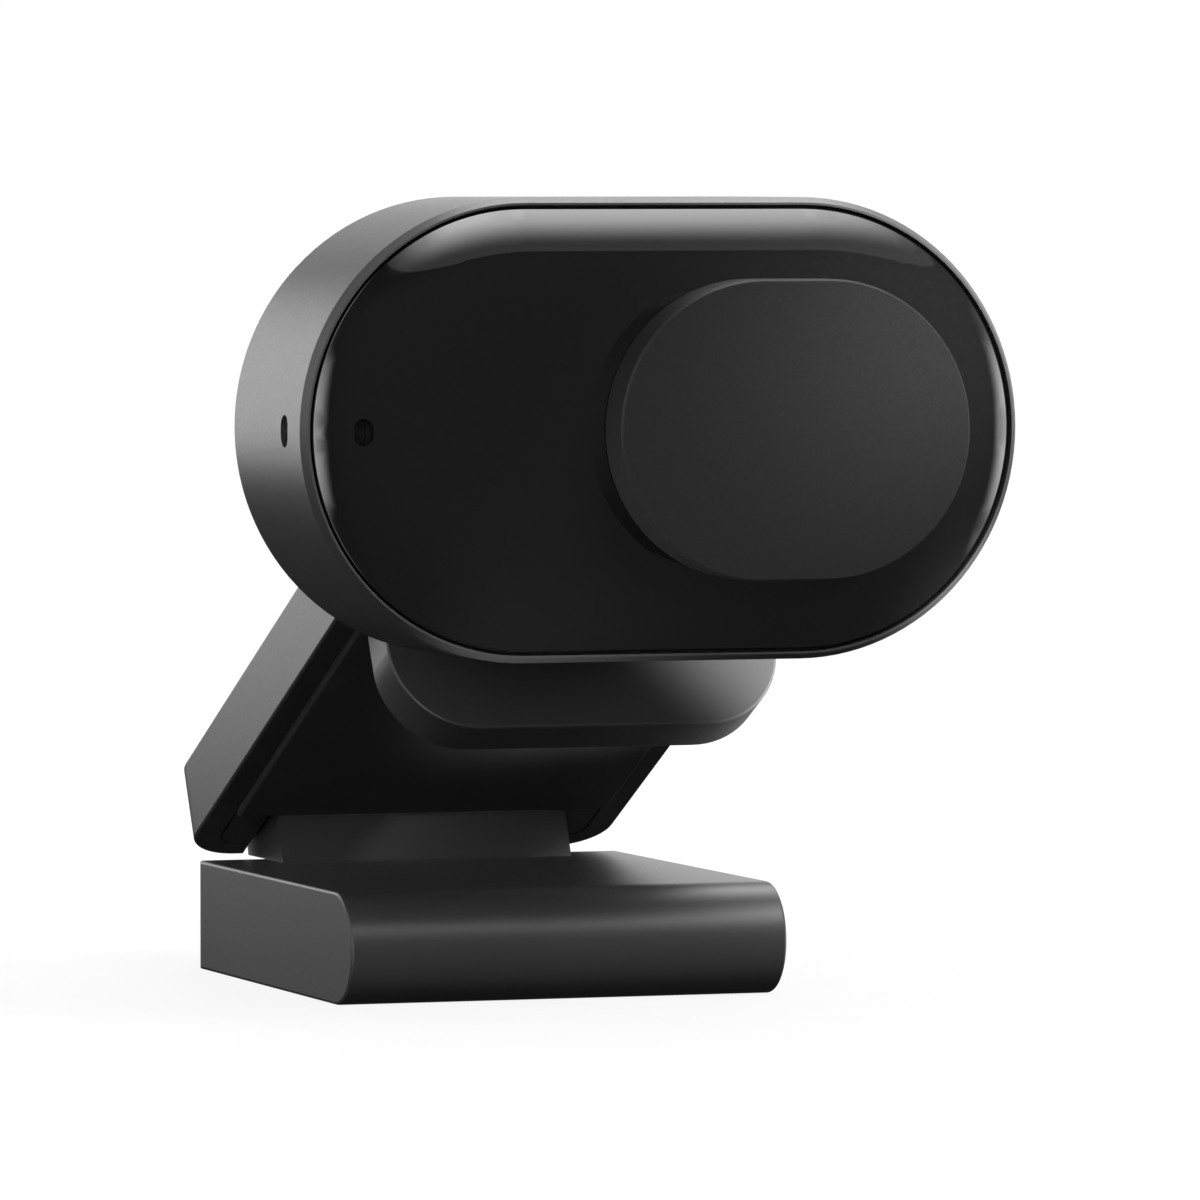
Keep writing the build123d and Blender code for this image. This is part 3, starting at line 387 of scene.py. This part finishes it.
# Thread in the tripod nut: a ridge of 1.27 mm pitch in a bore of 2.57 mm radius
low, high = (np.array(v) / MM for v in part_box("tripod_nut"))
thread_grid = ridge(
    centre_y=(low[1] + high[1]) / 2,
    foot_z=low[2],
    turns=4.6,
    pitch=1.27,
    root_radius=2.57,
    depth=0.3,
    half_width=0.55,
)
thread = sheet("nut_thread", thread_grid, finishes["brass"])
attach(thread, "foot")

# Acoustic cloth across the two microphone openings, a millimetre inside the wall
cloth_inset, cloth_radius, cloth_straight, cloth_thickness = 1.0, 1.04, 0.84, 0.1
low, high = (np.array(v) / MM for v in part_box("microphones"))
mic_y, mic_z = (low[1] + high[1]) / 2, (low[2] + high[2]) / 2
shell_low, shell_high = (np.array(v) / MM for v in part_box("head_shell"))
for name, wall_x, side in (("left", shell_low[0], -1), ("right", shell_high[0], 1)):
    centre = (wall_x - side * cloth_inset, mic_y, mic_z)
    cloth_grid = stadium(centre, side, cloth_radius, cloth_straight, cloth_thickness)
    cloth = sheet("mic_cloth_" + name, cloth_grid, finishes["acoustic_cloth"])
    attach(cloth, "head")

# Camera: 19 degrees to the left of the front and 2.5 degrees down, with a long lens
yaw, dip = np.radians(18.999), np.radians(2.514)
sensor_width, focal_length = 36.0, 295.81935
camera_place = (-0.297279, -0.896308, 0.078227)
look = Vector((np.sin(yaw) * np.cos(dip), np.cos(yaw) * np.cos(dip), -np.sin(dip)))
right = Vector((np.cos(yaw), -np.sin(yaw), 0.0))
up = right.cross(look)
camera = bpy.data.objects.new("camera", bpy.data.cameras.new("camera"))
camera.data.sensor_width = sensor_width
camera.data.lens = focal_length
camera.data.clip_start, camera.data.clip_end = 0.05, 20.0
turn = Matrix((right, up, -look)).transposed().to_4x4()
camera.matrix_world = Matrix.Translation(camera_place) @ turn
scene.collection.objects.link(camera)
scene.camera = camera

# Pale floor: a round table top with a painted shadow pool, a little greyer under the object, that fades to
# the white of the room
floor_radius = 0.45
mat, t, place, surface = material("pale_floor")
rays = add(t, "LightPath")
reach = add(t, "VectorMath", {0: place}, operation="LENGTH")
# Painted shadow: the white the camera sees is 0.9 within 5 cm of the centre, under the object, rising to
# 1.0 at 20 cm
painted_shadow_fade = add(
    t,
    "MapRange",
    {"Value": reach.outputs["Value"], "From Min": 0.05, "From Max": 0.2, "To Min": 0.9, "To Max": 1.0},
)
seen = add(t, "Math", {0: rays.outputs["Is Camera Ray"], 1: painted_shadow_fade.outputs["Result"]}, operation="MULTIPLY")
speck = add(t, "TexNoise", {"Vector": place, "Scale": lumps(3.0), "Detail": 2.0})
tone = add(t, "ValToRGB", {"Fac": speck.outputs["Fac"]}, [(0.3, "#343434"), (0.7, "#383838")])
matt = add(t, "BsdfDiffuse", {"Color": tone.outputs["Color"]})
white = add(t, "Emission", {"Color": (1, 1, 1, 1), "Strength": seen.outputs[0]})
mixed = add(t, "AddShader", {0: matt.outputs[0], 1: white.outputs[0]})
t.links.new(mixed.outputs[0], surface)
r = np.linspace(0.0, floor_radius, 9)[:, None]
a = np.linspace(0.0, 2 * np.pi, 64, endpoint=False)[None, :]
floor = sheet("floor", np.stack([r * np.cos(a), r * np.sin(a), 0 * r * a], -1), mat)
floor.visible_glossy = False

# Studio room, by direction from the object. Side angles run from the front, towards the right, and
# heights from the horizon. Each box: its brightness, then soft edges as angle, start and end in degrees.
world = bpy.data.worlds.new("studio")
world.use_nodes = True
scene.world = world
t = world.node_tree
t.nodes.clear()
way = add(t, "SeparateXYZ", {0: add(t, "TexCoord").outputs["Generated"]})
ahead = add(t, "Math", {0: way.outputs["Y"], 1: -1.0}, operation="MULTIPLY")
side = add(t, "Math", {0: way.outputs["X"], 1: ahead.outputs[0]}, operation="ARCTAN2").outputs[0]
height = add(t, "Math", {0: way.outputs["Z"]}, operation="ARCSINE").outputs[0]
# Height less 10 degrees x ((side - 30 degrees)/44 degrees)^4, which rounds the lower corners of the top box
across = add(
    t, "MapRange", {"Value": side, "From Min": np.radians(30.0), "From Max": np.radians(74.0)}, clamp=False
)
bow = add(t, "Math", {0: across.outputs["Result"], 1: 4.0}, operation="POWER")
drop = add(t, "Math", {0: bow.outputs[0], 1: np.radians(-10.0), 2: height}, operation="MULTIPLY_ADD")
arch = drop.outputs[0]
boxes = [
    # Softbox above the front: a faint lower part with a sharp edge, brighter upwards
    (0.6, (side, -14.5, -13), (side, 56, 54.5), (arch, 24.6, 25.3)),
    (15.0, (side, -15, 5), (side, 60, 52), (height, 28, 49)),
    # Large box on the right, narrow strip and large dim box on the left
    (17.0, (side, 60, 74), (side, 90, 78), (height, -40, 0), (height, 24, 4)),
    (12.0, (side, -23, -33), (side, -41, -35), (height, -45, -15), (height, 45, 20)),
    (3.0, (side, -58, -78), (side, -122, -102), (height, -15, 5), (height, 46, 28)),
    # White wall and high box behind on the right, glow of the front, and the dark room
    (1.8, (side, 125, 150), (height, -8, 6), (height, 30, 14)),
    (8.0, (side, 100, 125), (height, 38, 50), (height, 80, 68)),
    (0.12, (side, -45, -10), (side, 75, 45), (height, 32, 20)),
    (0.03, (side, 400, 300)),
]
room = None
for brightness, *edges in boxes:
    box = brightness
    for angle, start, end in edges:
        step = add(
            t,
            "MapRange",
            {
                "Value": angle,
                "From Min": np.radians(min(start, end)),
                "From Max": np.radians(max(start, end)),
                "To Min": float(start > end),
                "To Max": float(start < end),
            },
            interpolation_type="SMOOTHSTEP",
        )
        box = add(t, "Math", {0: step.outputs["Result"], 1: box}, operation="MULTIPLY").outputs[0]
    room = box if room is None else add(t, "Math", {0: room, 1: box}, operation="ADD").outputs[0]
rays = add(t, "LightPath")
level = add(t, "MapRange", {"Value": rays.outputs["Is Camera Ray"], "To Min": room, "To Max": 1.0})
back = add(t, "Background", {"Color": (1, 1, 1, 1), "Strength": level.outputs["Result"]})
t.links.new(back.outputs[0], add(t, "OutputWorld").inputs["Surface"])

# Softbox behind on the left, and three spots with soft edges: on the shutter's right end, from low on the
# left on the shutter's wall, and from low on the right on the end of the lip. Flags keep the spots out of
# mirror reflections. Each spot: place and target in mm, watts, cone in degrees, bulb radius in metres.
box_shape = {"shape": "RECTANGLE", "size": 0.24, "size_y": 0.206}
lamps = [("rear_box", "AREA", (-175, 360, 109), (-40, -20, 45), 0.5, box_shape)]
for name, place, target, power, cone, bulb in (
    ("shutter_spot", (120, -190, 120), (35, -66, 70), 8.5, 14, 0.01),
    ("wall_spot", (-42, -63, 5), (1, -56, 50), 0.28, 36, 0.003),
    ("lip_spot", (110, -160, 8), (28, -29, 36), 19.0, 14, 0.003),
):
    spot_shape = {"spot_size": np.radians(cone), "spot_blend": 1.0, "shadow_soft_size": bulb}
    lamps.append((name, "SPOT", place, target, power, spot_shape))
for name, kind, place, target, power, shape in lamps:
    lamp = bpy.data.lights.new(name, kind)
    lamp.energy = power
    for key, value in shape.items():
        setattr(lamp, key, value)
    lamp_object = bpy.data.objects.new(name, lamp)
    place, target = MM * Vector(place), MM * Vector(target)
    turn = (target - place).to_track_quat("-Z", "Y").to_matrix().to_4x4()
    lamp_object.matrix_world = Matrix.Translation(place) @ turn
    lamp_object.visible_camera = False
    lamp_object.visible_glossy = kind == "AREA"
    scene.collection.objects.link(lamp_object)

scene.view_settings.view_transform = "Standard"
